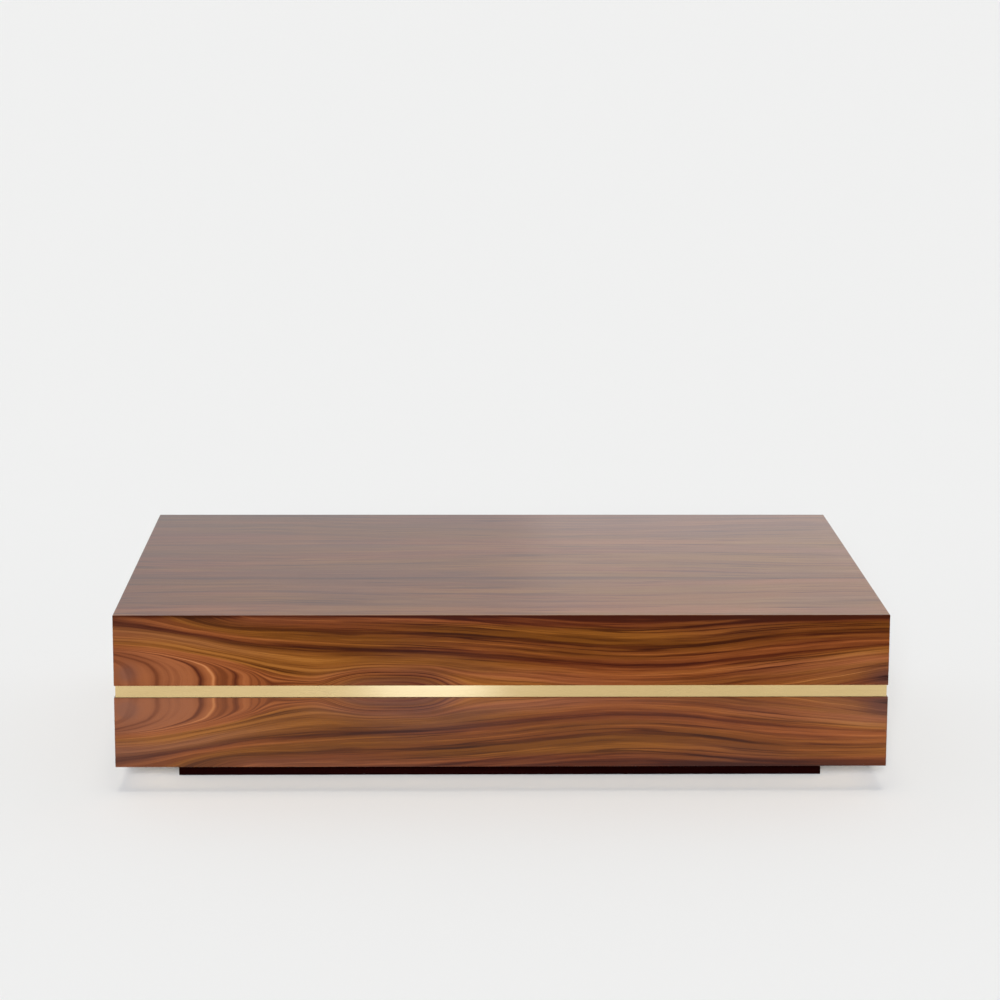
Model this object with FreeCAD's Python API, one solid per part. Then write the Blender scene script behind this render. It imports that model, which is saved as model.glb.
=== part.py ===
import FreeCAD, Part
import math
import os

# A low block coffee table. A hollow veneered body in two halves, one above the other, is split
# all the way round by a recessed brass band, and stands on a set-back plinth with four levelling feet.
# Frame: millimetres, +Z up, +X along the length, -Y is the front, origin on the floor under the centre.

# ---- driving dimensions ----------------------------------------------------------------------------
LENGTH = 1500.0
DEPTH = 1000.0
HEIGHT = 353.0
UNDERSIDE = 51.0  # underside of the body above the floor
LOWER_HALF = 138.5
BAND_HEIGHT = 24.0  # opening between the lower and the upper half
PLINTH_INSET = 113.0  # from the body's face to the plinth's face, on all sides

# ---- body boards -----------------------------------------------------------------------------------
BOARD = 22.0  # wall and top thickness, veneer included
VENEER = 0.6
LIPPING = 3.0  # solid wood on every board edge that shows
TOP_LEAVES = 3  # veneer leaves side by side across the depth of the top
ARRIS = 1.2  # radius on the outer corners and round the top
EDGE_EASE = 0.5  # radius on the long edges beside the band and round the underside
BASE_PANEL = 15.0

# ---- brass band ------------------------------------------------------------------------------------
BRASS_RECESS = 2.5
BRASS = 3.0
BRASS_GAP = 0.3  # above and below the bar
BRASS_CHAMFER = 0.3
TAPE = 0.5
TAPE_HEIGHT = 18.0

# ---- hidden frame ----------------------------------------------------------------------------------
SPLICE = 18.0  # the batten's back plate, behind both halves
SPLICE_LAP = 20.0  # how far that plate reaches above and below the band
CLEAT = 20.0
RIB = 15.0
RIB_SLOT_PLAY = 0.2
LONG_RIB_Y = 160.0
CROSS_RIB_X = 364.0
CORNER_BLOCK = 60.0

# ---- plinth ----------------------------------------------------------------------------------------
PLINTH_BOARD = 18.0
PLINTH_LIFT = 2.0  # gap between the plinth and the floor
PLINTH_EASE = 0.8
RAIL_X = 200.0
RAIL_LIFT = 8.0

# ---- levelling feet --------------------------------------------------------------------------------
FOOT_BLOCK = 75.0
FOOT_BLOCK_BASE = 14.0
STEM_RADIUS = 5.0
STEM_TOP = 46.0
STEM_TIP = 1.0
BORE_PLAY = 0.05
INSERT_RADIUS = 7.0
INSERT_LENGTH = 15.0
INSERT_FLANGE_RADIUS = 11.0
INSERT_FLANGE = 1.5
BLOCK_BORE_RADIUS = 6.0
HEX_ACROSS_FLATS = 14.0
HEX_BASE = 6.2
HEX_HEIGHT = 6.0
PAD_RADIUS = 20.0
PAD_RIM = 3.5
PAD_HEIGHT = 6.0
PAD_CROWN_RADIUS = 9.0
PAD_BEVEL = 0.8
BOSS_RADIUS = 4.0
BOSS_BASE = 3.0

# ---- screws ----------------------------------------------------------------------------------------
SCREW_RADIUS = 2.2
SCREW_HEAD_RADIUS = 4.2
SCREW_HEAD = 2.6
BASE_SCREW_LENGTH = 30.0
PLINTH_SCREW_LENGTH = 50.0
SCREW_TIP = 4.0
SLOT_WIDTH = 1.0
SLOT_LENGTH = 4.6
SLOT_DEPTH = 1.6
PLINTH_SCREW_OFFSET = 24.0
SCREWS_PER_LONG_SIDE = 6
SCREWS_PER_SHORT_SIDE = 4
SCREW_END_MARGIN = 130.0

# ---- places that follow ----------------------------------------------------------------------------
BAND_BOTTOM = UNDERSIDE + LOWER_HALF
BAND_TOP = BAND_BOTTOM + BAND_HEIGHT
CEILING = HEIGHT - BOARD  # underside of the top panel
BASE_TOP = UNDERSIDE + BASE_PANEL
TAPE_FACE = BRASS_RECESS + BRASS
TONGUE_FACE = TAPE_FACE + TAPE
SPLICE_BACK = BOARD + SPLICE
CLEAT_BACK = BOARD + CLEAT
PLINTH_LENGTH = LENGTH - 2 * PLINTH_INSET
PLINTH_DEPTH = DEPTH - 2 * PLINTH_INSET
FOOT_X = PLINTH_LENGTH / 2 - PLINTH_BOARD - FOOT_BLOCK / 2
FOOT_Y = PLINTH_DEPTH / 2 - PLINTH_BOARD - FOOT_BLOCK / 2

UP = FreeCAD.Vector(0, 0, 1)
ORIGIN = FreeCAD.Vector(0, 0, 0)
SIDE_ANGLES = {"front": 0, "right": 90, "back": 180, "left": 270}
CORNERS = {"front_left": (-1, -1), "front_right": (1, -1), "back_left": (-1, 1), "back_right": (1, 1)}
TOLERANCE = 1e-4
WEDGE_MARGIN = 5.0  # how far a mitring wedge reaches past the outer face
WEDGE_REACH = 60.0  # and how far it reaches in, past every ring's inner face


# ---- helpers ---------------------------------------------------------------------------------------
def block(size_x, size_y, bottom, top, x=0.0, y=0.0):
    """A box centred on x, y."""
    corner = FreeCAD.Vector(x - size_x / 2, y - size_y / 2, bottom)
    return Part.makeBox(size_x, size_y, top - bottom, corner)


def cylinder(radius, bottom, top, x=0.0, y=0.0):
    return Part.makeCylinder(radius, top - bottom, FreeCAD.Vector(x, y, bottom))


def inset_block(inset, bottom, top, outline=(LENGTH, DEPTH)):
    """A box whose faces lie inset behind the outline's faces."""
    return block(outline[0] - 2 * inset, outline[1] - 2 * inset, bottom, top)


def ring(outer_inset, inner_inset, bottom, top, outline=(LENGTH, DEPTH)):
    """A rectangular tube lying between two insets from the outline."""
    outer = inset_block(outer_inset, bottom, top, outline)
    return outer.cut(inset_block(inner_inset, bottom, top, outline))


def prism_between(ring_a, ring_b):
    """The six-sided solid between two quadrilaterals."""
    a = [FreeCAD.Vector(*p) for p in ring_a]
    b = [FreeCAD.Vector(*p) for p in ring_b]
    loops = [a, b]
    for i in range(4):
        j = (i + 1) % 4
        loops.append([a[i], a[j], b[j], b[i]])
    faces = [Part.Face(Part.makePolygon(loop + [loop[0]])) for loop in loops]
    solid = Part.Solid(Part.makeShell(faces))
    if solid.Volume < 0:
        solid.reverse()
    return solid


def side_wedge(side, under_top=False, outline=(LENGTH, DEPTH)):
    """The space of one side's boards: its ends slope in at 45 degrees, and its top too if it is under_top."""
    across = side in ("left", "right")
    span = outline[1] if across else outline[0]
    face = -(outline[0] if across else outline[1]) / 2

    def section(inset):
        x, y = span / 2 - inset, face + inset
        top = HEIGHT - inset if under_top else HEIGHT + WEDGE_MARGIN
        return [(-x, y, -WEDGE_MARGIN), (x, y, -WEDGE_MARGIN), (x, y, top), (-x, y, top)]

    wedge = prism_between(section(-WEDGE_MARGIN), section(WEDGE_REACH))
    wedge.rotate(ORIGIN, UP, SIDE_ANGLES[side])
    return wedge


def top_wedge():
    """The space of the top panel: its four edges slope in at 45 degrees."""
    def section(inset):
        x, y, z = LENGTH / 2 - inset, DEPTH / 2 - inset, HEIGHT - inset
        return [(-x, -y, z), (x, -y, z), (x, y, z), (-x, y, z)]

    return prism_between(section(-WEDGE_MARGIN), section(WEDGE_REACH))


def one_solid(shape):
    """The single solid that a boolean leaves."""
    if len(shape.Solids) != 1:
        raise ValueError(f"expected one solid and got {len(shape.Solids)}")
    return shape.Solids[0].removeSplitter()


def mitred(ring_shape, side, under_top=False, outline=(LENGTH, DEPTH)):
    return one_solid(ring_shape.common(side_wedge(side, under_top, outline)))


def four_mitred(ring_shape):
    """The four separate bars of a ring, as one group."""
    return Part.makeCompound([mitred(ring_shape, side) for side in SIDE_ANGLES])


def edges_where(shape, test):
    return [e for e in shape.Edges if test(e.BoundBox)]


def level_edges(shape, z):
    return edges_where(shape, lambda b: abs(b.ZMin - z) < TOLERANCE and abs(b.ZMax - z) < TOLERANCE)


def upright_edges(shape):
    return edges_where(shape, lambda b: b.XLength < TOLERANCE and b.YLength < TOLERANCE)


def export(name, shape):
    for solid in shape.Solids:
        if not solid.isValid() or solid.Volume <= 0:
            raise ValueError(f"{name} holds a bad solid")
    shape.exportStep(f"parts/{name}.step")


# ---- the two halves of the body --------------------------------------------------------------------
def upper_outside():
    """The outer form of the upper half, its corners and top eased."""
    form = block(LENGTH, DEPTH, BAND_TOP, HEIGHT)
    form = form.makeFillet(ARRIS, upright_edges(form) + level_edges(form, HEIGHT))
    return form.makeFillet(EDGE_EASE, level_edges(form, BAND_TOP))


def lower_outside():
    """The outer form of the lower half, its corners and long edges eased."""
    form = block(LENGTH, DEPTH, UNDERSIDE, BAND_BOTTOM)
    form = form.makeFillet(ARRIS, upright_edges(form))
    return form.makeFillet(EDGE_EASE, level_edges(form, UNDERSIDE) + level_edges(form, BAND_BOTTOM))


def upper_boards():
    """Top and upper side boards: core, edge lipping and veneer, mitred at every corner."""
    skin = upper_outside().cut(inset_block(VENEER, BAND_TOP, HEIGHT - VENEER))
    core = inset_block(VENEER, BAND_TOP + LIPPING, HEIGHT - VENEER)
    core = core.cut(inset_block(BOARD, BAND_TOP + LIPPING, CEILING))
    for side in SIDE_ANGLES:
        export(f"upper_{side}_veneer", mitred(skin, side, under_top=True))
        export(f"upper_{side}_board", mitred(core, side, under_top=True))
    export("top_panel", one_solid(core.common(top_wedge())))
    top_skin = skin.common(top_wedge())
    leaf = DEPTH / TOP_LEAVES
    for i in range(TOP_LEAVES):
        strip = block(LENGTH, leaf, CEILING, HEIGHT, y=-DEPTH / 2 + (i + 0.5) * leaf)
        export(f"top_veneer_leaf_{i + 1}", one_solid(top_skin.common(strip)))
    export("upper_lipping", lipping_ring(BAND_TOP))


def lower_boards():
    """Lower side boards: core, lipping on both long edges, and veneer."""
    skin = lower_outside().cut(inset_block(VENEER, UNDERSIDE, BAND_BOTTOM))
    core = ring(VENEER, BOARD, UNDERSIDE + LIPPING, BAND_BOTTOM - LIPPING)
    for side in SIDE_ANGLES:
        export(f"lower_{side}_veneer", mitred(skin, side))
        export(f"lower_{side}_board", mitred(core, side))
    export("lower_top_lipping", lipping_ring(BAND_BOTTOM - LIPPING))
    export("lower_base_lipping", lipping_ring(UNDERSIDE))


def lipping_ring(bottom):
    return four_mitred(ring(VENEER, BOARD, bottom, bottom + LIPPING))


# ---- the band --------------------------------------------------------------------------------------
def brass_band():
    """Four flat bars, mitred at the corners, each on a strip of bonding tape."""
    bottom, top = BAND_BOTTOM + BRASS_GAP, BAND_TOP - BRASS_GAP
    form = inset_block(BRASS_RECESS, bottom, top)
    long_edges = upright_edges(form) + level_edges(form, bottom) + level_edges(form, top)
    bars = form.makeChamfer(BRASS_CHAMFER, long_edges).cut(inset_block(TAPE_FACE, bottom, top))
    for side in SIDE_ANGLES:
        export(f"brass_band_{side}", mitred(bars, side))
    middle = (bottom + top) / 2
    low, high = middle - TAPE_HEIGHT / 2, middle + TAPE_HEIGHT / 2
    export("brass_bonding_tape", four_mitred(ring(TAPE_FACE, TONGUE_FACE, low, high)))


def splice_ring():
    """A tongue that fills the band's opening, with a back plate that laps both halves."""
    low, high = BAND_BOTTOM - SPLICE_LAP, BAND_TOP + SPLICE_LAP
    tongue = ring(TONGUE_FACE, BOARD, BAND_BOTTOM, BAND_TOP)
    return tongue.fuse(ring(BOARD, SPLICE_BACK, low, high)).removeSplitter()


def splice_battens():
    whole = splice_ring()
    for side in SIDE_ANGLES:
        export(f"splice_batten_{side}", mitred(whole, side))


# ---- the hidden frame ------------------------------------------------------------------------------
def top_cleat_ring():
    return ring(BOARD, CLEAT_BACK, CEILING - CLEAT, CEILING)


def base_cleat_ring():
    return ring(BOARD, CLEAT_BACK, BASE_TOP, BASE_TOP + CLEAT)


def rib_slots(bottom, top):
    """The half-lap slots, one at each crossing of a long rib and a cross rib."""
    width = RIB + RIB_SLOT_PLAY
    places = [(x, y) for x in (-CROSS_RIB_X, 0, CROSS_RIB_X) for y in (-LONG_RIB_Y, LONG_RIB_Y)]
    return Part.makeCompound([block(width, width, bottom, top, x, y) for x, y in places])


def ribs():
    """Upright ribs that lap over each other like an egg box, notched round the cleats and battens."""
    middle = (BASE_TOP + CEILING) / 2
    notches = [top_cleat_ring(), base_cleat_ring(), splice_ring()]
    inner_length, inner_depth = LENGTH - 2 * BOARD, DEPTH - 2 * BOARD
    for name, y in (("front", -LONG_RIB_Y), ("back", LONG_RIB_Y)):
        rib = block(inner_length, RIB, BASE_TOP, CEILING, y=y)
        rib = rib.cut(notches).cut(rib_slots(middle, CEILING))
        export(f"long_rib_{name}", one_solid(rib))
    for name, x in (("left", -CROSS_RIB_X), ("middle", 0), ("right", CROSS_RIB_X)):
        rib = block(RIB, inner_depth, BASE_TOP, CEILING, x=x)
        rib = rib.cut(notches).cut(rib_slots(BASE_TOP, middle))
        export(f"cross_rib_{name}", one_solid(rib))


def corner_blocks(bottom, top):
    """Three-cornered glue blocks, one in each inside corner."""
    blocks = []
    for sign_x, sign_y in CORNERS.values():
        x, y = sign_x * (LENGTH / 2 - BOARD), sign_y * (DEPTH / 2 - BOARD)
        corner = FreeCAD.Vector(x, y, bottom)
        along_x = FreeCAD.Vector(x - sign_x * CORNER_BLOCK, y, bottom)
        along_y = FreeCAD.Vector(x, y - sign_y * CORNER_BLOCK, bottom)
        face = Part.Face(Part.makePolygon([corner, along_x, along_y, corner]))
        blocks.append(face.extrude(UP * (top - bottom)))
    return Part.makeCompound(blocks)


# ---- screws ----------------------------------------------------------------------------------------
def screw(x, y, face, length):
    """A countersunk wood screw driven upwards, its head flush with a face that looks down."""
    outline = [
        (0, 0),
        (SCREW_HEAD_RADIUS, 0),
        (SCREW_RADIUS, SCREW_HEAD),
        (SCREW_RADIUS, length - SCREW_TIP),
        (0, length),
        (0, 0),
    ]
    profile = Part.makePolygon([FreeCAD.Vector(r, 0, z) for r, z in outline])
    body = Part.Face(profile).revolve(ORIGIN, UP, 360)
    body.translate(FreeCAD.Vector(x, y, face))
    return body


def drive_recess(x, y, face):
    """The cross cut in a screw's head."""
    bar = block(SLOT_LENGTH, SLOT_WIDTH, face, face + SLOT_DEPTH, x, y)
    return bar.fuse(block(SLOT_WIDTH, SLOT_LENGTH, face, face + SLOT_DEPTH, x, y))


def screw_set(places, face, length):
    """(the screws with their drives cut, the plain screws that their holes are cut with)."""
    plain = [screw(x, y, face, length) for x, y in places]
    cut = [one_solid(s.cut(drive_recess(x, y, face))) for s, (x, y) in zip(plain, places)]
    return Part.makeCompound(cut), plain


def spread(count, span):
    """Even places along a span, with a margin at both ends."""
    first = -span / 2 + SCREW_END_MARGIN
    step = (span - 2 * SCREW_END_MARGIN) / (count - 1)
    return [first + i * step for i in range(count)]


def base_screw_places():
    """A row of screws along each side, up the middle of the base cleats."""
    x_side = LENGTH / 2 - BOARD - CLEAT / 2
    y_side = DEPTH / 2 - BOARD - CLEAT / 2
    long_rows = [(x, sign * y_side) for x in spread(SCREWS_PER_LONG_SIDE, LENGTH) for sign in (-1, 1)]
    short_rows = [(sign * x_side, y) for y in spread(SCREWS_PER_SHORT_SIDE, DEPTH) for sign in (-1, 1)]
    return long_rows + short_rows


def plinth_screw_places():
    """Two screws up through each foot block, either side of its foot."""
    places = []
    for sign_x, sign_y in CORNERS.values():
        for turn in (-1, 1):
            x = sign_x * (FOOT_X + turn * PLINTH_SCREW_OFFSET)
            y = sign_y * (FOOT_Y - turn * PLINTH_SCREW_OFFSET)
            places.append((x, y))
    return places


# ---- the base of the body and the plinth -----------------------------------------------------------
def base():
    """Base panel, cleats, foot blocks and the screws that hold them together."""
    base_screws, base_holes = screw_set(base_screw_places(), UNDERSIDE, BASE_SCREW_LENGTH)
    plinth_screws, plinth_holes = screw_set(plinth_screw_places(), FOOT_BLOCK_BASE, PLINTH_SCREW_LENGTH)
    panel = inset_block(BOARD, UNDERSIDE, BASE_TOP)
    export("base_panel", one_solid(panel.cut(base_holes + plinth_holes)))
    export("base_cleats", four_mitred(base_cleat_ring()).cut(base_holes))
    export("base_screws", base_screws)
    export("plinth_foot_blocks", foot_blocks().cut(plinth_holes))
    export("plinth_screws", plinth_screws)


def foot_blocks():
    """Four blocks that take the feet, each with a stepped bore for its threaded insert."""
    blocks = []
    for sign_x, sign_y in CORNERS.values():
        x, y = sign_x * FOOT_X, sign_y * FOOT_Y
        body = block(FOOT_BLOCK, FOOT_BLOCK, FOOT_BLOCK_BASE, UNDERSIDE, x, y)
        seat = cylinder(INSERT_RADIUS, FOOT_BLOCK_BASE, FOOT_BLOCK_BASE + INSERT_LENGTH, x, y)
        bore = cylinder(BLOCK_BORE_RADIUS, FOOT_BLOCK_BASE, UNDERSIDE, x, y)
        blocks.append(one_solid(body.cut([seat, bore])))
    return Part.makeCompound(blocks)


def plinth():
    """Four mitred boards round two cross rails."""
    outline = (PLINTH_LENGTH, PLINTH_DEPTH)
    form = inset_block(0, PLINTH_LIFT, UNDERSIDE, outline)
    form = form.makeFillet(PLINTH_EASE, upright_edges(form) + level_edges(form, PLINTH_LIFT))
    walls = form.cut(inset_block(PLINTH_BOARD, PLINTH_LIFT, UNDERSIDE, outline))
    for side in SIDE_ANGLES:
        export(f"plinth_{side}", mitred(walls, side, outline=outline))
    rail_length = PLINTH_DEPTH - 2 * PLINTH_BOARD
    rails = [block(PLINTH_BOARD, rail_length, RAIL_LIFT, UNDERSIDE, x=s * RAIL_X) for s in (-1, 1)]
    export("plinth_cross_rails", Part.makeCompound(rails))


# ---- the levelling feet ----------------------------------------------------------------------------
def threaded_insert(x, y):
    """A flanged insert pressed up into a foot block."""
    top = FOOT_BLOCK_BASE + INSERT_LENGTH
    flange_bottom = FOOT_BLOCK_BASE - INSERT_FLANGE
    body = cylinder(INSERT_RADIUS, FOOT_BLOCK_BASE, top, x, y)
    flange = cylinder(INSERT_FLANGE_RADIUS, flange_bottom, FOOT_BLOCK_BASE, x, y)
    bore = cylinder(STEM_RADIUS + BORE_PLAY, flange_bottom, top, x, y)
    return one_solid(body.fuse(flange).cut(bore))


def foot_stem(x, y):
    """The threaded stem, with a hexagon for a spanner and a boss that turns in the pad."""
    boss = cylinder(BOSS_RADIUS, BOSS_BASE, HEX_BASE, x, y)
    radius = HEX_ACROSS_FLATS / math.sqrt(3)
    turns = [math.radians(60 * i) for i in range(7)]
    points = [FreeCAD.Vector(x + radius * math.cos(a), y + radius * math.sin(a), HEX_BASE) for a in turns]
    hexagon = Part.Face(Part.makePolygon(points)).extrude(UP * HEX_HEIGHT)
    shank = cylinder(STEM_RADIUS, HEX_BASE + HEX_HEIGHT, STEM_TOP, x, y)
    shank = shank.makeChamfer(STEM_TIP, level_edges(shank, STEM_TOP))
    return one_solid(boss.fuse([hexagon, shank]))


def foot_pad(x, y):
    """A round pad with a bevelled rim and a coned crown round the stem's boss."""
    outline = [
        (0, 0),
        (PAD_RADIUS - PAD_BEVEL, 0),
        (PAD_RADIUS, PAD_BEVEL),
        (PAD_RADIUS, PAD_RIM),
        (PAD_CROWN_RADIUS, PAD_HEIGHT),
        (BOSS_RADIUS + BORE_PLAY, PAD_HEIGHT),
        (BOSS_RADIUS + BORE_PLAY, BOSS_BASE),
        (0, BOSS_BASE),
        (0, 0),
    ]
    profile = Part.makePolygon([FreeCAD.Vector(r, 0, z) for r, z in outline])
    body = Part.Face(profile).revolve(ORIGIN, UP, 360)
    body.translate(FreeCAD.Vector(x, y, 0))
    return body


def feet():
    inserts = []
    for name, (sign_x, sign_y) in CORNERS.items():
        x, y = sign_x * FOOT_X, sign_y * FOOT_Y
        export(f"foot_pad_{name}", foot_pad(x, y))
        export(f"foot_stem_{name}", foot_stem(x, y))
        inserts.append(threaded_insert(x, y))
    export("foot_inserts", Part.makeCompound(inserts))


# ---- the whole table -------------------------------------------------------------------------------
def main():
    os.makedirs("parts", exist_ok=True)
    upper_boards()
    lower_boards()
    brass_band()
    splice_battens()
    export("top_cleats", four_mitred(top_cleat_ring()))
    ribs()
    splice_low, splice_high = BAND_BOTTOM - SPLICE_LAP, BAND_TOP + SPLICE_LAP
    export("upper_corner_blocks", corner_blocks(splice_high, CEILING - CLEAT))
    export("lower_corner_blocks", corner_blocks(BASE_TOP + CLEAT, splice_low))
    base()
    plinth()
    feet()


main()
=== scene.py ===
"""The looks of a low block coffee table: book-matched dark veneer round a brass band, on a dark plinth."""
import math

import bpy
from mathutils import Matrix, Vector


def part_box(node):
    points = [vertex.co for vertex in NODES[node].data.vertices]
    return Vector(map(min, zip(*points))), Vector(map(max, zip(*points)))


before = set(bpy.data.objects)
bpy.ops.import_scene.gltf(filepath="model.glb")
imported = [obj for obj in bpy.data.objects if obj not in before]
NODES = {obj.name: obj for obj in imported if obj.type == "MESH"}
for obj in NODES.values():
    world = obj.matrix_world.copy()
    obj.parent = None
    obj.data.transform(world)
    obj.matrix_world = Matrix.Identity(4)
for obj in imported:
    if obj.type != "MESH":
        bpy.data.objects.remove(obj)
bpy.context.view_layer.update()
SIDES = ("front", "right", "back", "left")

# ---- places, in metres, all from the frame ----------------------------------------------------------
BAND_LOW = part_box("lower_front_veneer")[1].z
BAND_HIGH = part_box("upper_front_veneer")[0].z
BAND_MIDDLE = (BAND_LOW + BAND_HIGH) / 2
LEAF_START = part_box("top_veneer_leaf_1")[0].y
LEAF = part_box("top_veneer_leaf_1")[1].y - LEAF_START
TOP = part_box("top_veneer_leaf_1")[1].z


# ---- shader helpers ---------------------------------------------------------------------------------
class Field:
    """A number that varies over a surface. Arithmetic on it adds math nodes to the material."""

    def __init__(self, tree, socket):
        self.tree = tree
        self.socket = socket

    def apply(self, operation, *others):
        node = self.tree.nodes.new("ShaderNodeMath")
        node.operation = operation
        for slot, value in zip(node.inputs, (self, *others)):
            feed(self.tree, value, slot)
        return Field(self.tree, node.outputs[0])

    def __add__(self, other):
        return self.apply("ADD", other)

    def __sub__(self, other):
        return self.apply("SUBTRACT", other)

    def __mul__(self, other):
        return self.apply("MULTIPLY", other)

    def __truediv__(self, other):
        return self.apply("DIVIDE", other)

    def __neg__(self):
        return self * -1.0

    def __abs__(self):
        return self.apply("ABSOLUTE")

    def mapped(self, low, high, to_low=0.0, to_high=1.0):
        """low..high stretched to to_low..to_high and held there outside it, with soft ends."""
        node = self.tree.nodes.new("ShaderNodeMapRange")
        node.interpolation_type = "SMOOTHSTEP"
        for slot, value in zip(node.inputs, (self, low, high, to_low, to_high)):
            feed(self.tree, value, slot)
        return Field(self.tree, node.outputs[0])


def feed(tree, value, slot):
    """Links a field or a node's output to an input, or sets a plain number or colour on it."""
    if isinstance(value, Field):
        tree.links.new(value.socket, slot)
    elif isinstance(value, bpy.types.NodeSocket):
        tree.links.new(value, slot)
    elif isinstance(value, tuple):
        slot.default_value = (*value, 1.0)
    else:
        slot.default_value = value


def split(tree, coordinates):
    """The x, y and z of a texture coordinate, as fields."""
    place = tree.nodes.new("ShaderNodeTexCoord")
    parts = tree.nodes.new("ShaderNodeSeparateXYZ")
    tree.links.new(place.outputs[coordinates], parts.inputs[0])
    return [Field(tree, out) for out in parts.outputs]


def row_position(tree):
    """The point's x, y and z in the row frame, because every CAD object sits at the origin."""
    return split(tree, "Object")


SEED_STEP = 7.31  # distance between the slices of the noise that two seeds use, in cells


def noise(x, y, seed, detail=2.0, roughness=0.5):
    """Smooth noise from 0 to 1 over two fields, each in cells; the seed picks one of many patterns."""
    tree = x.tree
    join = tree.nodes.new("ShaderNodeCombineXYZ")
    for slot, value in zip(join.inputs, (x, y, seed * SEED_STEP)):
        feed(tree, value, slot)
    node = tree.nodes.new("ShaderNodeTexNoise")
    node.inputs["Scale"].default_value = 1.0
    node.inputs["Detail"].default_value = detail
    node.inputs["Roughness"].default_value = roughness
    tree.links.new(join.outputs[0], node.inputs["Vector"])
    return Field(tree, node.outputs["Fac"])


def ramp(field, stops):
    """A colour or grey for each value of the field; stops are (value, grey or (r, g, b)), rising."""
    low = stops[0][0]
    high = stops[-1][0]
    node = field.tree.nodes.new("ShaderNodeValToRGB")
    node.color_ramp.interpolation = "EASE"
    elements = node.color_ramp.elements
    while len(elements) < len(stops):
        elements.new(0.5)
    for element, (value, _) in zip(elements, stops):
        element.position = (value - low) / (high - low)
    for element, (_, colour) in zip(elements, stops):
        rgb = colour if isinstance(colour, tuple) else (colour,) * 3
        element.color = (*rgb, 1.0)
    feed(field.tree, (field - low) / (high - low), node.inputs[0])
    return Field(field.tree, node.outputs["Color"])


def mix(factor, a, b):
    """Colour a where the factor is 0, b where it is 1."""
    node = factor.tree.nodes.new("ShaderNodeMixRGB")
    for slot, value in zip(node.inputs, (factor, a, b)):
        feed(factor.tree, value, slot)
    return Field(factor.tree, node.outputs[0])


def bell(*offsets):
    """1 where every offset is 0, falling smoothly to 0 within about two of each."""
    total = offsets[0] * offsets[0]
    for offset in offsets[1:]:
        total = total + offset * offset
    return (-total).apply("EXPONENT")


def new_material(name, **settings):
    """An empty material with a Principled shader, whose constants are set on its own sockets."""
    material = bpy.data.materials.new(name)
    material.use_nodes = True
    shader = material.node_tree.nodes["Principled BSDF"]
    for socket, value in settings.items():
        shader.inputs[socket.replace("_", " ")].default_value = value
    return material, material.node_tree, shader


def bump(tree, shader, height, distance):
    """Relief from a height field of 0 to 1 that stands distance metres tall."""
    node = tree.nodes.new("ShaderNodeBump")
    node.inputs["Strength"].default_value = 1.0
    node.inputs["Distance"].default_value = distance
    feed(tree, height, node.inputs["Height"])
    tree.links.new(node.outputs["Normal"], shader.inputs["Normal"])


def paint(material, *names):
    for name in names:
        slots = NODES[name].data.materials
        slots.clear()
        slots.append(material)


# ---- veneer -----------------------------------------------------------------------------------------
# A leaf's figure is a set of contour lines, like heights on a map, and the tone changes with the height.
# All lengths are in metres. 0 is the darkest tone and 1 a light one.
# Each streak is (height, tone).
STREAKS = [
    (-0.070, 0.46),
    (-0.056, 0.56),
    (-0.044, 0.60),
    (-0.033, 0.62),
    (-0.0275, 0.59),
    (-0.0180, 0.62),
    (-0.0080, 0.50),
    (-0.0030, 0.62),
    (0.0050, 0.56),
    (0.0180, 0.66),
    (0.0280, 0.56),
    (0.0340, 0.70),
    (0.0470, 0.60),
    (0.0560, 0.70),
    (0.0670, 0.52),
    (0.0725, 0.22),
    (0.0765, 0.08),
    (0.0800, 0.40),
    (0.0880, 0.56),
    (0.0930, 0.36),
    (0.0980, 0.50),
    (0.1060, 0.36),
    (0.1095, 0.10),
    (0.1130, 0.08),
    (0.1165, 0.36),
    (0.1240, 0.44),
    (0.1310, 0.60),
    (0.1380, 0.54),
    (0.1440, 0.20),
    (0.1500, 0.38),
    (0.1590, 0.06),
    (0.1850, 0.12),
]
# Each tone is (tone, (red, green, blue)).
RED_TONES = [
    (0.00, (0.0250, 0.0040, 0.0008)),
    (0.20, (0.0450, 0.0086, 0.0016)),
    (0.45, (0.0830, 0.0208, 0.0042)),
    (0.65, (0.1270, 0.0350, 0.0080)),
    (0.85, (0.1740, 0.0540, 0.0140)),
    (1.05, (0.2400, 0.0870, 0.0240)),
    (1.40, (0.3400, 0.1450, 0.0600)),
]
OLIVE_TONES = [
    (0.00, (0.0220, 0.0043, 0.0003)),
    (0.20, (0.0400, 0.0090, 0.0006)),
    (0.45, (0.0780, 0.0212, 0.0024)),
    (0.65, (0.1190, 0.0350, 0.0050)),
    (0.85, (0.1650, 0.0535, 0.0100)),
    (1.05, (0.2300, 0.0880, 0.0190)),
    (1.40, (0.3250, 0.1500, 0.0520)),
]
DUSKY_TONES = [
    (0.00, (0.0170, 0.0050, 0.0040)),
    (0.45, (0.0600, 0.0200, 0.0115)),
    (0.85, (0.1180, 0.0430, 0.0230)),
    (1.40, (0.2400, 0.1150, 0.0700)),
]
# What the red and olive tones are multiplied by, which sets them further apart in hue.
RED_TINT = (1.01, 0.955, 0.97)
OLIVE_TINT = (0.98, 1.06, 0.85)

TOP_SPREAD = 0.42  # height for each metre across a leaf of the top; under 1 it spreads the streaks out
TOP_FIRST_HEIGHT = 0.035  # height at the first of a leaf's two joints


def tinted(tones, tint):
    """The tones with each channel of their colours multiplied by the tint's."""
    return [(tone, tuple(part * share for part, share in zip(colour, tint))) for tone, colour in tones]


def beside_band(z):
    """Distance from the band's middle, above and below alike, because the two halves are book-matched."""
    return abs(z - BAND_MIDDLE)


def across_top(y):
    """Distance across the top's leaves, folded at each joint, because they are book-matched too."""
    return (y - LEAF_START).apply("PINGPONG", LEAF) * TOP_SPREAD + TOP_FIRST_HEIGHT


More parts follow.
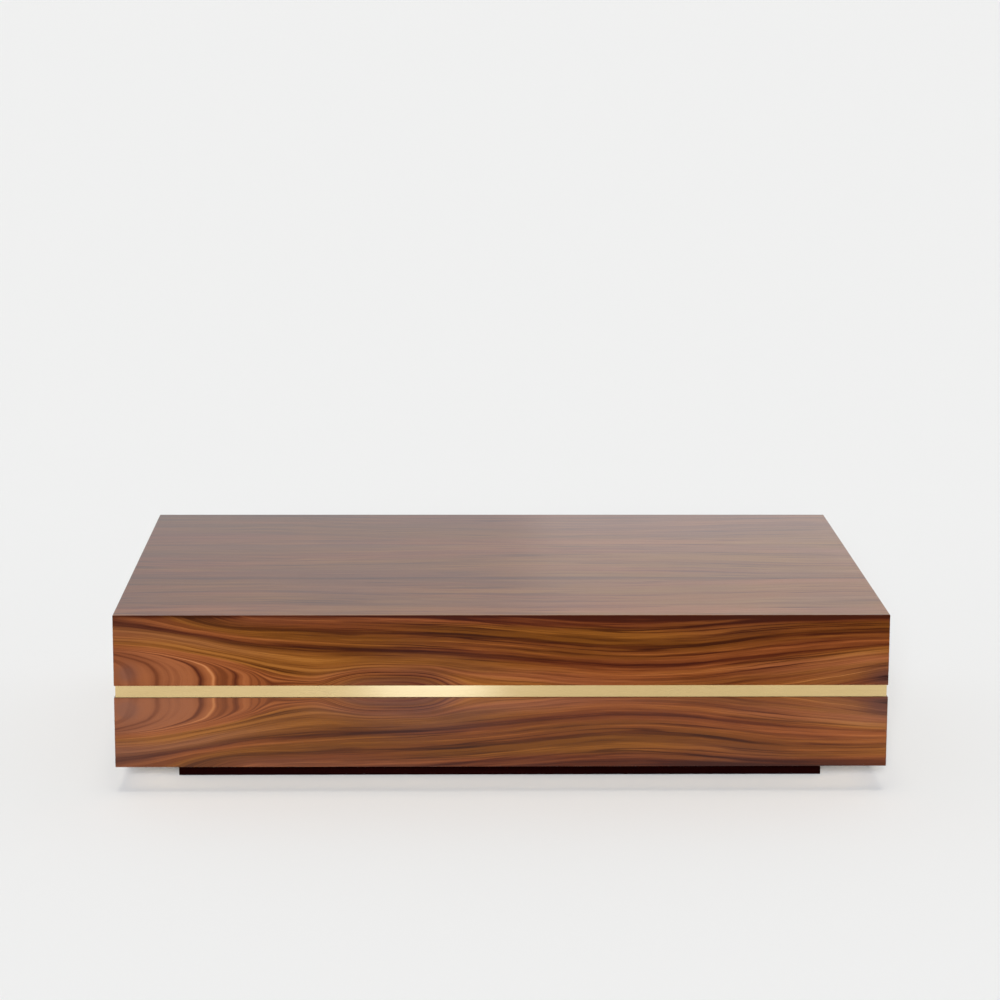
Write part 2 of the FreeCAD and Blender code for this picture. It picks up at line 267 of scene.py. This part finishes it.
# along, across: the position along the grain and the distance across it, which is the height before bending.
# swells: bend the lines round them, (along, across, half-length, half-width, rise).
# wall: a slope of its own along the grain, (foot, slope, end). Where it stands above the rest, its contours
# show as upright arcs; past its end it drops away.
# calm: a patch with fainter grain, (along, across, half-length, half-width, share of the grain taken away).
# veins: single lines that fade out, (height, thickness, along, half-length, change of tone).
# shades: patches, (along, across, half-length, half-width, change of tone, duskiness).
FIGURES = {
    "front": {
        "along": lambda x, y, z: x,
        "across": lambda x, y, z: beside_band(z),
        "wall": (-0.49, 0.15, -0.46),
        "swells": [
            (-0.80, 0.0, 0.20, 0.055, -0.60),
            (-0.95, 0.16, 0.44, 0.12, -0.080),
            (-0.257, 0.0, 0.062, 0.035, -0.100),
            (-0.168, 0.0, 0.066, 0.035, -0.100),
            (-0.55, 0.135, 0.16, 0.022, 0.014),
            (0.22, 0.0, 0.22, 0.25, 0.023),
            (0.80, 0.0, 0.17, 0.095, -0.048),
            (-0.66, 0.10, 0.11, 0.07, -0.010),
            (0.39, 0.07, 0.11, 0.10, 0.006),
        ],
        "calm": (-0.745, 0.030, 0.10, 0.050, 0.80),
        "veins": [
            (-0.0255, 0.0007, -0.68, 0.10, -0.32),
            (-0.0132, 0.0009, -0.60, 0.10, -0.40),
            (-0.0100, 0.0006, -0.60, 0.12, 0.72),
            (-0.0065, 0.0012, -0.54, 0.09, -0.24),
            (-0.0026, 0.0006, -0.50, 0.10, -0.24),
            (0.0012, 0.0005, -0.48, 0.07, -0.24),
            (0.0034, 0.0005, -0.47, 0.07, -0.30),
            (0.0062, 0.0007, -0.44, 0.09, -0.34),
            (0.1000, 0.0030, -0.25, 0.15, -0.20),
            (0.1240, 0.0040, 0.15, 0.25, -0.26),
            (0.0095, 0.0006, -0.42, 0.12, -0.25),
            (0.0745, 0.0028, 0.42, 0.22, -0.24),
            (0.0125, 0.0007, 0.66, 0.12, 0.75),
            (0.0040, 0.0030, -0.20, 0.15, -0.42),
            (-0.0140, 0.0024, -0.19, 0.14, -0.20),
            (-0.0340, 0.0046, -0.20, 0.10, -0.30),
            (-0.0700, 0.0050, -0.16, 0.07, -0.24),
        ],
        "shades": [
            (-0.725, 0.036, 0.020, 0.018, -0.06, 0.75),
            (0.757, 0.027, 0.046, 0.020, -0.22, 1.0),
            (0.68, 0.066, 0.10, 0.020, 0.18, 0.0),
            (0.72, 0.100, 0.10, 0.030, 0.08, 0.0),
            (-0.22, 0.010, 0.09, 0.016, 0.05, 0.5),
            (-0.14, 0.040, 0.07, 0.012, -0.18, 0.2),
            (-0.68, 0.030, 0.12, 0.034, 0.13, 0.0),
            (0.42, 0.022, 0.18, 0.024, -0.12, 0.0),
            (-0.35, 0.03, 0.06, 0.03, 0.08, 0.0),
            (0.05, 0.019, 0.12, 0.016, 0.17, 0.0),
            (-0.80, 0.08, 0.30, 0.20, 0.13, 0.22),
            (0.55, 0.147, 0.27, 0.014, -0.38, 0.0),
            (0.38, 0.105, 0.12, 0.012, 0.06, 0.0),
            (-0.75, 0.085, 0.05, 0.016, -0.10, 0.0),
            (-0.38, 0.065, 0.10, 0.022, 0.06, 0.0),
            (-0.72, 0.140, 0.14, 0.024, -0.12, 0.0),
        ],
    },
    "right": {
        "along": lambda x, y, z: y,
        "across": lambda x, y, z: beside_band(z),
        "wall": None,
        "swells": [
            (-0.55, 0.0, 0.22, 0.12, -0.034),
            (-0.20, 0.0, 0.10, 0.050, -0.068),
            (0.18, 0.0, 0.20, 0.25, 0.026),
            (0.60, 0.14, 0.22, 0.10, -0.050),
        ],
        "veins": [(0.0160, 0.0010, -0.42, 0.10, 0.40), (0.0060, 0.0010, 0.36, 0.12, -0.30)],
        "shades": [(-0.50, 0.018, 0.035, 0.026, -0.2, 0.9), (-0.20, 0.0, 0.12, 0.034, -0.16, 0.3)],
    },
    "back": {
        "along": lambda x, y, z: -x,
        "across": lambda x, y, z: beside_band(z),
        "wall": (-0.56, 0.15, -0.53),
        "swells": [
            (-0.87, 0.0, 0.20, 0.055, -0.60),
            (-0.87, 0.16, 0.26, 0.12, -0.055),
            (-0.10, 0.0, 0.11, 0.048, -0.066),
            (0.34, 0.0, 0.22, 0.25, 0.027),
            (0.84, 0.0, 0.20, 0.12, -0.030),
        ],
        "calm": (-0.76, 0.030, 0.06, 0.045, 0.7),
        "veins": [
            (-0.0190, 0.0014, -0.68, 0.10, -0.45),
            (-0.0110, 0.0010, -0.66, 0.11, 0.45),
            (0.0062, 0.0011, -0.52, 0.10, -0.40),
        ],
        "shades": [(0.70, 0.030, 0.05, 0.024, -0.1, 0.6), (-0.10, 0.0, 0.13, 0.034, -0.16, 0.3)],
    },
    "left": {
        "along": lambda x, y, z: -y,
        "across": lambda x, y, z: beside_band(z),
        "wall": None,
        "swells": [
            (-0.55, 0.14, 0.24, 0.11, -0.045),
            (-0.02, 0.0, 0.10, 0.046, -0.062),
            (0.34, 0.0, 0.18, 0.25, 0.022),
        ],
        "veins": [(0.0060, 0.0010, -0.25, 0.12, -0.35), (0.0200, 0.0012, 0.36, 0.10, 0.35)],
        "shades": [(0.47, 0.03, 0.035, 0.024, -0.2, 0.8), (-0.02, 0.0, 0.12, 0.034, -0.16, 0.3)],
    },
    "top": {
        "along": lambda x, y, z: x,
        "across": lambda x, y, z: across_top(y),
        "wall": None,
        "swells": [
            (-0.50, 0.12, 0.35, 0.05, -0.012),
            (0.15, 0.05, 0.30, 0.06, 0.010),
            (0.70, 0.14, 0.25, 0.06, -0.016),
        ],
        "veins": [],
        "shades": [
            (0.0, 0.175, 9.0, 0.0013, -0.6, 0.0),
            (0.0, 0.035, 9.0, 0.0010, -0.4, 0.0),
            (-0.1, 0.163, 0.8, 0.0040, 0.12, 0.0),
        ],
    },
}
# What the lower halves have besides, so that they aren't an exact mirror image of the upper ones.
LOWER_SWELLS = [(0.95, 0.09, 0.30, 0.07, 0.026), (0.15, 0.05, 0.28, 0.06, 0.007)]
LOWER_SHADES = [
    (0.60, 0.040, 0.16, 0.030, 0.05, -0.3),
    (0.80, 0.110, 0.28, 0.050, 0.18, 0.0),
    (-0.70, 0.040, 0.20, 0.060, 0.06, 0.0),
    (-0.35, 0.065, 0.12, 0.022, -0.12, 0.0),
]

# Lengths and heights of every wall, in metres.
WALL_FADE = (0.45, 0.30)  # length over which a wall ends, and how far it drops there
WALL_REACH = 0.1  # distance from the band by which a wall's upright arcs have swept back
WALL_SWEEP = 0.26  # how far back they are there, which is also the most they are
WALL_BEND = 4.0  # power of that sweep: a larger one keeps the arcs upright further from the band
WALL_BLEND = 0.03  # height over which wall and streaks run into each other

# Layers of noise: (pattern, cells a metre along, cells a metre across, detail, roughness)
LAYERS = {
    "wander": (1, 2.6, 9.0, 2.0, 0.5),
    "jitter": (2, 9.0, 40.0, 2.0, 0.5),
    "ripple": (3, 14.0, 90.0, 2.0, 0.5),
    "broad": (4, 1.5, 30.0, 3.0, 0.5),
    "fine": (5, 4.0, 190.0, 4.0, 0.7),
    "pencil": (6, 1.3, 95.0, 1.0, 0.5),
    "pale": (7, 2.8, 260.0, 2.0, 0.5),
    "hair": (8, 12.0, 560.0, 2.0, 0.5),
    "patches": (9, 1.8, 14.0, 2.0, 0.5),
    "pores": (10, 45.0, 1500.0, 2.0, 0.5),
    "breaks": (11, 3.5, 40.0, 2.0, 0.5),
    "hue": (12, 1.1, 22.0, 3.0, 0.5),
    "sway": (13, 5.0, 14.0, 2.0, 0.5),
}
# How far the first layers bend the figure, in metres.
SWAY = 0.04
WANDER = 0.012
JITTER = 0.004
RIPPLE = 0.0022
# How much the others change the tone.
BROAD_SHARE = 0.5
HAIR_SHARE = 0.5
PENCIL_SHARE = 0.5
PALE_SHARE = 0.14
PENCIL_WIDTH = 0.03  # share of the noise's range that makes a pencil line
# Where in their noise these layers start to show and where they are full.
BREAKS_RANGE = (0.40, 0.62)
PALE_RANGE = (0.58, 0.72)
PATCHES_RANGE = (0.40, 0.70)
HUE_RANGE = (0.38, 0.62)
PORES_RANGE = (0.60, 0.75)
MIDDLE = 0.5  # middle of a noise, and of the tone
EDGE_SHADE = 0.005  # height of the dark line under the top's edge
HAIR_RELIEF = 0.4  # height of the fibres, as a share of the pores' depth
PORE_DEPTH = 0.00006


def flow(u, v, figure):
    """The figure's height: contour lines run along the leaf, round every swell and down at the wall."""
    height = v
    for centre, middle, half_length, half_width, rise in figure["swells"]:
        height = height + bell((u - centre) / half_length, (v - middle) / half_width) * rise
    if figure["wall"]:
        foot, slope, end = figure["wall"]
        length, drop = WALL_FADE
        swept = ((v / WALL_REACH).apply("POWER", WALL_BEND) * WALL_SWEEP).apply("MINIMUM", WALL_SWEEP)
        wall = (u - foot + swept) * slope - u.mapped(end, end + length) * drop
        height = height.apply("SMOOTH_MAX", wall, WALL_BLEND)
    return height


def lower_half(figure):
    """A side's figure on its lower half."""
    swells = figure["swells"] + LOWER_SWELLS
    shades = figure["shades"] + LOWER_SHADES
    return {**figure, "swells": swells, "shades": shades}


def layer(name, u, v, seed):
    """One layer of noise, from 0 to 1."""
    pattern, along, across, detail, roughness = LAYERS[name]
    return noise(u * along, v * across, seed + pattern, detail, roughness)


def bent(u, v, figure, seed, stretch):
    """The figure's height with the wavering of real wood in it."""
    wander = layer("wander", u, v, seed) - MIDDLE
    jitter = layer("jitter", u * stretch, v, seed) - MIDDLE
    sway = layer("sway", u, v, seed) - MIDDLE
    height = flow(u + sway * SWAY, v + wander * WANDER + jitter * JITTER, figure)
    ripple = layer("ripple", u * stretch, height, seed) - MIDDLE
    return height + ripple * RIPPLE


def grain_and_hair(length, level, seed):
    """The change of tone that the fine grain makes, and its finest fibres alone."""
    broad = layer("broad", length, level, seed) - MIDDLE
    fine = layer("fine", length, level, seed) - MIDDLE
    pencil = bell((layer("pencil", length, level, seed) - MIDDLE) / PENCIL_WIDTH)
    breaks = layer("breaks", length, level, seed).mapped(*BREAKS_RANGE)
    pale = layer("pale", length, level, seed).mapped(*PALE_RANGE)
    hair = layer("hair", length, level, seed) - MIDDLE
    grain = broad * BROAD_SHARE + fine + hair * HAIR_SHARE
    return grain - pencil * breaks * PENCIL_SHARE + pale * PALE_SHARE, hair


def veneer(
    name,
    figure,
    seed,
    dusk,
    contrast,
    streakiness=1.0,
    painted_lightness=0.0,
    slope=(0.0, 0.0),
    stretch=1.0,
    fineness=1.0,
    gloss=1.15,
    edge=0.5,
):
    """Lacquered veneer. stretch shortens the grain's lines and fineness thins them. slope is how much lighter
    it gets for each metre along x and y. dusk is how dusky its patches are, and edge darkens its top. On the
    top, the lighter tone all over is painted light, and the slope is partly the wood's own tone and partly
    painted light."""
    material, tree, shader = new_material(name, Roughness=0.3, IOR=gloss)
    place = row_position(tree)
    x, y, z = place
    u = figure["along"](*place)
    v = figure["across"](*place)
    height = bent(u, v, figure, seed, stretch)
    length = u * stretch
    level = height * fineness

    tone = (ramp(height, STREAKS) - MIDDLE) * streakiness + MIDDLE
    for vein, thickness, centre, half_length, change in figure["veins"]:
        tone = tone + bell((height - vein) / thickness, (u - centre) / half_length) * change
    grain, hair = grain_and_hair(length, level, seed)
    if "calm" in figure:
        centre, middle, half_length, half_width, share = figure["calm"]
        calm = bell((u - centre) / half_length, (v - middle) / half_width) * share
        grain = grain * (-calm + 1.0)
    # slope and the lift of the whole tone: on the top the lift is painted light, and the slope is partly wood
    # and partly painted light
    rise, fall = slope
    tone = (tone + grain - MIDDLE) * contrast + x * rise + y * fall + (MIDDLE + painted_lightness)

    patches = layer("patches", length, height, seed).mapped(*PATCHES_RANGE) * dusk
    for centre, middle, half_length, half_width, change, duskiness in figure["shades"]:
        patch = bell((u - centre) / half_length, (v - middle) / half_width)
        tone = tone + patch * change
        patches = patches + patch * duskiness
    tone = tone - bell((z - TOP) / EDGE_SHADE) * edge

    hue = layer("hue", length, height, seed).mapped(*HUE_RANGE)
    olive = ramp(tone, tinted(OLIVE_TONES, OLIVE_TINT))
    red = ramp(tone, tinted(RED_TONES, RED_TINT))
    wood = mix(hue, olive, red)
    colour = mix(patches.apply("MINIMUM", 1.0), wood, ramp(tone, DUSKY_TONES))
    feed(tree, colour, shader.inputs["Base Color"])
    pores = layer("pores", u, level, seed).mapped(*PORES_RANGE)
    bump(tree, shader, hair * HAIR_RELIEF - pores, PORE_DEPTH)
    return material


FIRST_SIDE_SEED = 1
FIRST_TOP_SEED = 120
SEEDS_EACH = 20  # seeds kept for a side or leaf, more than there are layers


def paint_veneers():
    for number, side in enumerate(SIDES):
        seed = FIRST_SIDE_SEED + SEEDS_EACH * number
        figure = FIGURES[side]
        upper = veneer(f"veneer_upper_{side}", figure, seed, dusk=0.3, contrast=0.85)
        paint(upper, f"upper_{side}_veneer")
        name = f"veneer_lower_{side}"
        lower = veneer(name, lower_half(figure), seed, dusk=0.6, contrast=0.68, gloss=1.32)
        paint(lower, f"lower_{side}_veneer")
    for number in range(3):
        # each top leaf is painted lighter all over as painted light, and lighter to the right and front,
        # partly wood and partly painted light
        material = veneer(
            f"veneer_top_{number + 1}",
            FIGURES["top"],
            seed=FIRST_TOP_SEED + SEEDS_EACH * number,
            dusk=0.5,
            contrast=0.75,
            streakiness=0.40,
            painted_lightness=0.43,
            slope=(0.22, -0.26),
            stretch=1.15,
            fineness=1.5,
            gloss=1.25,
            edge=0.0,
        )
        paint(material, f"top_veneer_leaf_{number + 1}")


# ---- brass, plinth and the rest ---------------------------------------------------------------------
BRASS_TONES = [(0.25, (0.72, 0.53, 0.25)), (0.75, (0.84, 0.63, 0.31))]
BRUSH_CELLS = (14.0, 2600.0)  # cells a metre along and across the bars
TARNISH_CELLS = (5.0, 30.0)
DIM_REFLECTION_PATCH = (0.35, 0.28, 0.3)  # where along x, half-length, and how much darker: a painted dimmer reflection right of the highlight
BRUSH_DEPTH = 0.00001
BRASS_ROUGHNESS = (0.22, 0.28)
BRASS_SEED = 301


def brass():
    """Satin brass, brushed along the bars; the brush marks stretch each reflection upright."""
    gloss = {"Anisotropic": 0.5, "Anisotropic_Rotation": 0.25}
    material, tree, shader = new_material("brass_brushed", Metallic=1.0, **gloss)
    x, y, z = row_position(tree)
    along, across = BRUSH_CELLS
    marks = noise((x + y) * along, z * across, BRASS_SEED, detail=3.0)
    along, across = TARNISH_CELLS
    tarnish = noise((x + y) * along, z * across, BRASS_SEED + 1, detail=3.0)
    # the bars are painted darker right of the middle, a painted dimmer reflection beside the highlight
    centre, half_length, darker = DIM_REFLECTION_PATCH
    painted_dim_reflection = bell((x - centre) / half_length) * darker
    shine = marks * 0.5 + tarnish * 0.5 - painted_dim_reflection
    feed(tree, ramp(shine, BRASS_TONES), shader.inputs["Base Color"])
    feed(tree, tarnish.mapped(0.2, 0.8, *BRASS_ROUGHNESS), shader.inputs["Roughness"])
    bump(tree, shader, marks, BRUSH_DEPTH)
    return material


GROWTH_CELLS = (1.2, 70.0)  # cells a metre along and across the grain
FIBRE_CELLS = (14.0, 700.0)
FIBRE_DEPTH = 0.00005


def straight_wood(name, grain, dark, light, roughness, gloss=1.3, seed=400):
    """Plain wood whose grain runs along the row's x, y or z."""
    material, tree, shader = new_material(name, Roughness=roughness, IOR=gloss)
    place = row_position(tree)
    u = place.pop("xyz".index(grain))
    v = place[0] + place[1] * 0.8
    along, across = GROWTH_CELLS
    growth = noise(u * along, v * across, seed, detail=3.0)
    along, across = FIBRE_CELLS
    fibres = noise(u * along, v * across, seed + 1, detail=3.0)
    colour = ramp(growth * 0.65 + fibres * 0.35, [(0.32, dark), (0.68, light)])
    feed(tree, colour, shader.inputs["Base Color"])
    bump(tree, shader, fibres, FIBRE_DEPTH)
    return material


BLOTCH = 30.0  # size of a blotch, in grains
UNEVEN = 0.06  # how far the roughness strays to either side


def speckled(name, dark, light, size, roughness, metallic=0.0, gloss=1.45, relief=0.00003, seed=500):
    """Soft mottling a few grains across: fibreboard, tape, moulded nylon or zinc plate."""
    material, tree, shader = new_material(name, IOR=gloss, Metallic=metallic)
    x, y, z = row_position(tree)
    grains = noise((x + z * 0.5) / size, (y + z * 0.7) / size, seed, detail=4.0)
    blotches = noise((x + z * 0.7) / (size * BLOTCH), (y - z * 0.5) / (size * BLOTCH), seed + 1)
    colour = ramp(grains * 0.7 + blotches * 0.3, [(0.3, dark), (0.7, light)])
    feed(tree, colour, shader.inputs["Base Color"])
    uneven = grains.mapped(0.3, 0.7, roughness - UNEVEN, roughness + UNEVEN)
    feed(tree, uneven, shader.inputs["Roughness"])
    bump(tree, shader, grains, relief)
    return material


PLY_RELIEF = 0.00004


def plies(name, dark, light, sheet, seed=600):
    """Birch plywood: pale faces with long grain, and edges striped by its plies, each one sheet thick."""
    material, tree, shader = new_material(name, Roughness=0.6, IOR=1.4)
    x, y, z = row_position(tree)
    stripes = (z / sheet).apply("PINGPONG", 1.0).mapped(0.35, 0.65)
    fibres = noise(x * 8.0, y * 300.0 + z * 500.0, seed, detail=3.0)
    growth = noise(x * 0.8, y * 22.0, seed + 1, detail=3.0)
    colour = ramp(fibres * 0.35 + growth * 0.45 + stripes * 0.2, [(0.25, dark), (0.75, light)])
    feed(tree, colour, shader.inputs["Base Color"])
    bump(tree, shader, fibres, PLY_RELIEF)
    return material


PALE_PINE = ((0.42, 0.27, 0.13), (0.62, 0.44, 0.24))
STAINED = ((0.0030, 0.0003, 0.0003), (0.0065, 0.0009, 0.0008))
LIPPING = ((0.050, 0.012, 0.003), (0.120, 0.036, 0.010))
HIDDEN_ALONG_X = ("top_cleats", "base_cleats", "long_rib_front", "long_rib_back")
HIDDEN_ALONG_Y = ("cross_rib_left", "cross_rib_middle", "cross_rib_right")
HIDDEN_UPRIGHT = ("upper_corner_blocks", "lower_corner_blocks")
CORNERS = ("front_left", "front_right", "back_left", "back_right")


def paint_the_rest():
    paint(brass(), *[f"brass_band_{side}" for side in SIDES])
    for side in SIDES:
        grain = "x" if side in ("front", "back") else "y"
        plinth = straight_wood(f"plinth_stain_{side}", grain, *STAINED, roughness=0.7, gloss=1.04)
        paint(plinth, f"plinth_{side}")
        batten = straight_wood(f"batten_{side}", grain, *PALE_PINE, roughness=0.6, seed=430)
        paint(batten, f"splice_batten_{side}")
    stained_inside = straight_wood("plinth_stain_inside", "y", *STAINED, roughness=0.8, gloss=1.2, seed=440)
    paint(stained_inside, "plinth_cross_rails", "plinth_foot_blocks")
    lipping = straight_wood("lipping_lacquer", "x", *LIPPING, roughness=0.35, seed=450)
    paint(lipping, "upper_lipping", "lower_top_lipping", "lower_base_lipping")
    paint(straight_wood("pine_along", "x", *PALE_PINE, roughness=0.6, seed=460), *HIDDEN_ALONG_X)
    paint(straight_wood("pine_across", "y", *PALE_PINE, roughness=0.6, seed=470), *HIDDEN_ALONG_Y)
    paint(straight_wood("pine_upright", "z", *PALE_PINE, roughness=0.6, seed=480), *HIDDEN_UPRIGHT)
    fibreboard = speckled("fibreboard", (0.30, 0.19, 0.10), (0.46, 0.32, 0.19), 0.0012, 0.85)
    paint(fibreboard, "top_panel", *[f"{half}_{side}_board" for half in ("upper", "lower") for side in SIDES])
    paint(plies("birch_plywood", (0.44, 0.30, 0.16), (0.66, 0.50, 0.31), 0.0013), "base_panel")
    nylon = speckled("nylon_moulded", (0.018, 0.018, 0.019), (0.032, 0.032, 0.033), 0.0005, 0.5)
    paint(nylon, *[f"foot_pad_{corner}" for corner in CORNERS])
    zinc = speckled("zinc_plate", (0.46, 0.46, 0.45), (0.64, 0.63, 0.60), 0.0010, 0.32, metallic=1.0)
    stems = [f"foot_stem_{corner}" for corner in CORNERS]
    paint(zinc, "foot_inserts", "base_screws", "plinth_screws", *stems)
    tape = speckled("foam_tape", (0.045, 0.045, 0.045), (0.085, 0.085, 0.085), 0.0004, 0.8)
    paint(tape, "brass_bonding_tape")


# ---- floor, light and camera ------------------------------------------------------------------------
FLOOR_SIZE = 400.0  # far enough for its edge to lie at the horizon
FLOOR_COLOUR = (0.850, 0.857, 0.868)
SURROUND_COLOUR = (0.98, 1.0, 1.06)
SURROUND_LOW = 0.88  # strength low down, all round
SURROUND_FRONT = 0.06  # strength higher up, in front and behind
SURROUND_BACK = 0.48


def make_floor():
    bpy.ops.mesh.primitive_plane_add(size=FLOOR_SIZE)
    floor = bpy.context.object
    floor.name = "floor"
    material, tree, shader = new_material("floor_paper", Roughness=1.0, IOR=1.0)
    feed(tree, FLOOR_COLOUR, shader.inputs["Base Color"])
    floor.data.materials.append(material)


def make_world():
    """A pale surround, brightest low down, and higher up brighter behind the table than in front of it."""
    world = bpy.data.worlds.new("studio")
    bpy.context.scene.world = world
    world.use_nodes = True
    tree = world.node_tree
    _, y, z = split(tree, "Generated")
    background = tree.nodes["Background"]
    upper = y.mapped(-0.2, 0.8, SURROUND_FRONT, SURROUND_BACK)
    feed(tree, z.mapped(0.18, 0.44, SURROUND_LOW, upper), background.inputs["Strength"])
    feed(tree, SURROUND_COLOUR, background.inputs["Color"])


def place_light(data, placement):
    light = bpy.data.objects.new(data.name, data)
    light.matrix_world = placement
    bpy.context.scene.collection.objects.link(light)
    return light


def make_sun(name, azimuth, elevation, strength, width, colour):
    """Light from far away; azimuth 0 is from the front, and positive is from the right."""
    data = bpy.data.lights.new(name, "SUN")
    data.energy = strength
    data.angle = math.radians(width)
    data.color = colour
    turn = Matrix.Rotation(math.radians(azimuth), 4, "Z")
    tilt = Matrix.Rotation(math.radians(90.0 - elevation), 4, "X")
    sun = place_light(data, turn @ tilt)
    sun.visible_glossy = False


def make_area(name, size, centre, turn, radiance, colour):
    """A flat lamp that only reflections see. With no turn it faces down, and at -90 degrees to the front."""
    data = bpy.data.lights.new(name, "AREA")
    data.shape = "RECTANGLE"
    data.size, data.size_y = size
    data.energy = radiance * math.pi * size[0] * size[1]
    data.color = colour
    lamp = place_light(data, Matrix.Translation(centre) @ Matrix.Rotation(math.radians(turn), 4, "X"))
    lamp.visible_camera = False
    lamp.visible_diffuse = False


CAMERA_PLACE = (-0.1287, -6.0173, 1.6412)
CAMERA_LENS = 105.8  # mm, on a 36 mm sensor
CAMERA_TURN = -1.278  # degrees about the upright, and negative is to the right
CAMERA_DOWN = 10.893  # degrees below level
CAMERA_ROLL = 0.244


def make_camera():
    """A long lens at eye height in front of the table, turned slightly to the right."""
    data = bpy.data.cameras.new("camera")
    data.sensor_width = 36.0
    data.lens = CAMERA_LENS
    heading = Matrix.Rotation(math.radians(CAMERA_TURN), 4, "Z")
    tilt = Matrix.Rotation(math.radians(90.0 - CAMERA_DOWN), 4, "X")
    roll = Matrix.Rotation(math.radians(CAMERA_ROLL), 4, "Z")
    camera = bpy.data.objects.new("camera", data)
    camera.matrix_world = Matrix.Translation(CAMERA_PLACE) @ heading @ tilt @ roll
    bpy.context.scene.collection.objects.link(camera)
    bpy.context.scene.camera = camera


GLINT_SIZE = (0.26, 1.0)  # this lamp makes the brass's highlight, from just above the floor in front
GLINT_PLACE = (-0.140, -1.60, 0.003)
PANEL_COLOUR = (1.0, 1.0, 0.95)  # the two panels behind make the top's sheen

bpy.context.scene.view_settings.view_transform = "Standard"
paint_veneers()
paint_the_rest()
make_floor()
make_world()
make_sun("key", azimuth=-5.0, elevation=17.0, strength=5.6, width=14.0, colour=(0.975, 1.0, 1.03))
make_sun("overhead", azimuth=0.0, elevation=88.0, strength=0.76, width=24.0, colour=(1.10, 1.0, 0.80))
make_area("glint", GLINT_SIZE, GLINT_PLACE, turn=180.0, radiance=1.45, colour=(0.78, 1.0, 1.60))
make_area("back_left_panel", (2.4, 0.5), (-1.0, 3.0, 0.60), turn=-90.0, radiance=0.68, colour=PANEL_COLOUR)
make_area("back_right_panel", (2.4, 0.6), (1.35, 3.0, 0.65), turn=-90.0, radiance=1.1, colour=PANEL_COLOUR)
make_camera()
